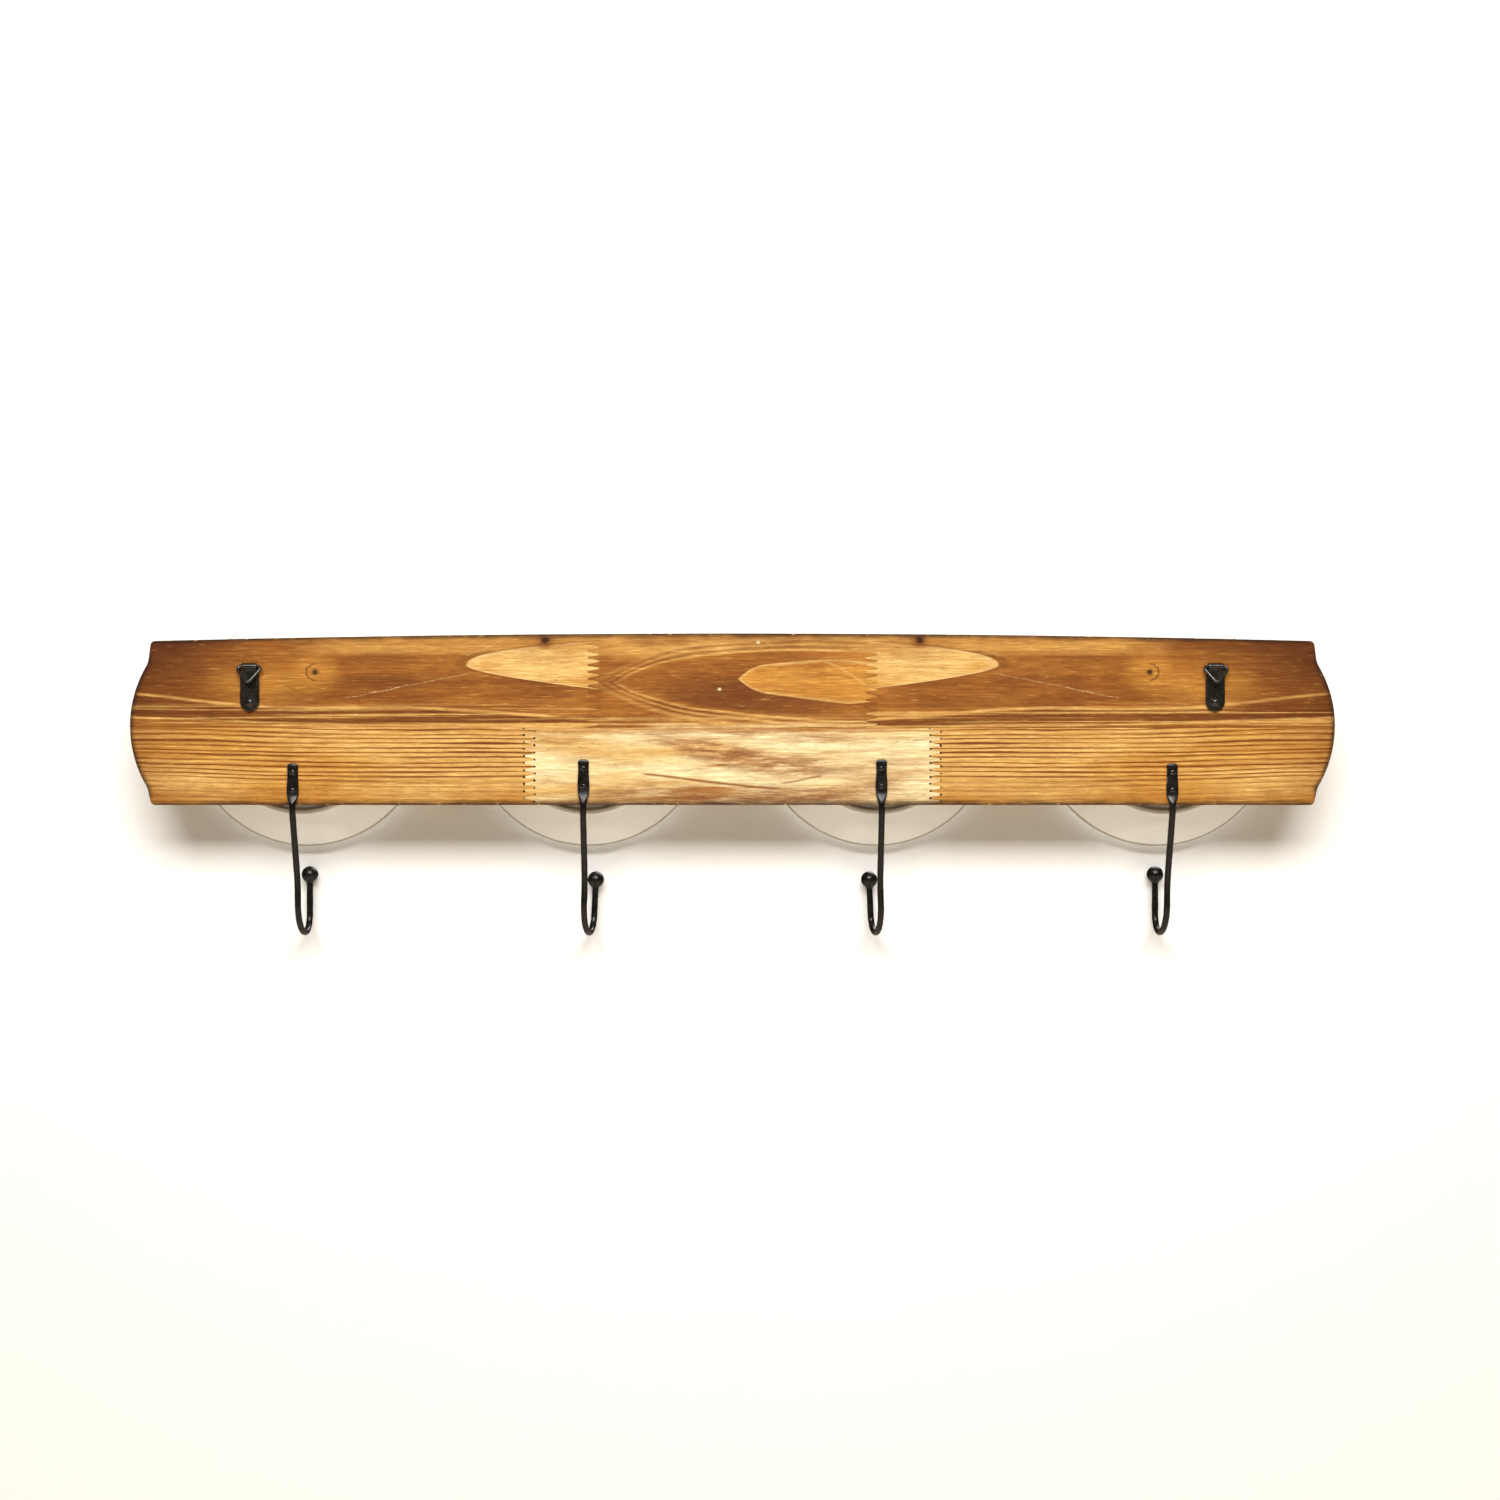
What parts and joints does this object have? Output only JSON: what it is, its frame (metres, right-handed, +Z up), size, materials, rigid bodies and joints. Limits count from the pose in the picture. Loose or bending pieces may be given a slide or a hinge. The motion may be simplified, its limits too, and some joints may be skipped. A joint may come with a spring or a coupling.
{
  "type": "wall hook rack",
  "caption": "Wooden wall rack with ball-ended wire hooks, round glazed dishes on its front and ring hangers on its back.",
  "frame": {"origin": "point on the board's back face, half way along it and at the height of the bulge in its ends", "axes": "+X along the board, to the right as seen from behind; +Y to the front of the rack, away from the wall; +Z up"},
  "size_m": [0.611, 0.0465, 0.1713],
  "materials": {
    "brown_wood": "satin, planed and oiled, darkened edges",
    "figured_wood": "satin, planed and oiled, flame figure",
    "golden_wood": "satin, planed and oiled, fine straight grain",
    "pale_wood": "satin, planed and oiled, pale with brown streaks",
    "black_iron": "semi-gloss black on forged wire",
    "black_steel": "black plated strip and wire, slight sheen",
    "black_screw": "semi-gloss black, worn bright at the recess",
    "white_glaze": "glossy off-white glaze",
    "adhesive": "matt grey mounting adhesive"
  },
  "bodies": {
    "rack": {"upper_left": "brown_wood", "upper_right": "brown_wood", "upper_middle": "figured_wood", "lower_left": "golden_wood", "lower_right": "golden_wood", "lower_middle": "pale_wood", "hook_wire_1": "black_iron", "hook_ball_1": "black_iron", "hook_screws_1": "black_screw", "dish_1": "white_glaze", "dish_bond_1": "adhesive", "hook_wire_2": "black_iron", "hook_ball_2": "black_iron", "hook_screws_2": "black_screw", "dish_2": "white_glaze", "dish_bond_2": "adhesive", "hook_wire_3": "black_iron", "hook_ball_3": "black_iron", "hook_screws_3": "black_screw", "dish_3": "white_glaze", "dish_bond_3": "adhesive", "hook_wire_4": "black_iron", "hook_ball_4": "black_iron", "hook_screws_4": "black_screw", "dish_4": "white_glaze", "dish_bond_4": "adhesive", "hanger_strap_left": "black_steel", "hanger_screw_left": "black_screw", "hanger_strap_right": "black_steel", "hanger_screw_right": "black_screw"},
    "ring_left": {"hanger_ring_left": "black_steel"},
    "ring_right": {"hanger_ring_right": "black_steel"}
  },
  "joints": [
    {"name": "ring_left_swing", "type": "hinge", "parent": "rack", "child": "ring_left", "pos_m": [-0.2445, -0.00176, 0.0276], "axis": [-1, 0, 0], "range_deg": [0, 160]},
    {"name": "ring_right_swing", "type": "hinge", "parent": "rack", "child": "ring_right", "pos_m": [0.2445, -0.00176, 0.0276], "axis": [-1, 0, 0], "range_deg": [0, 160]}
  ]
}
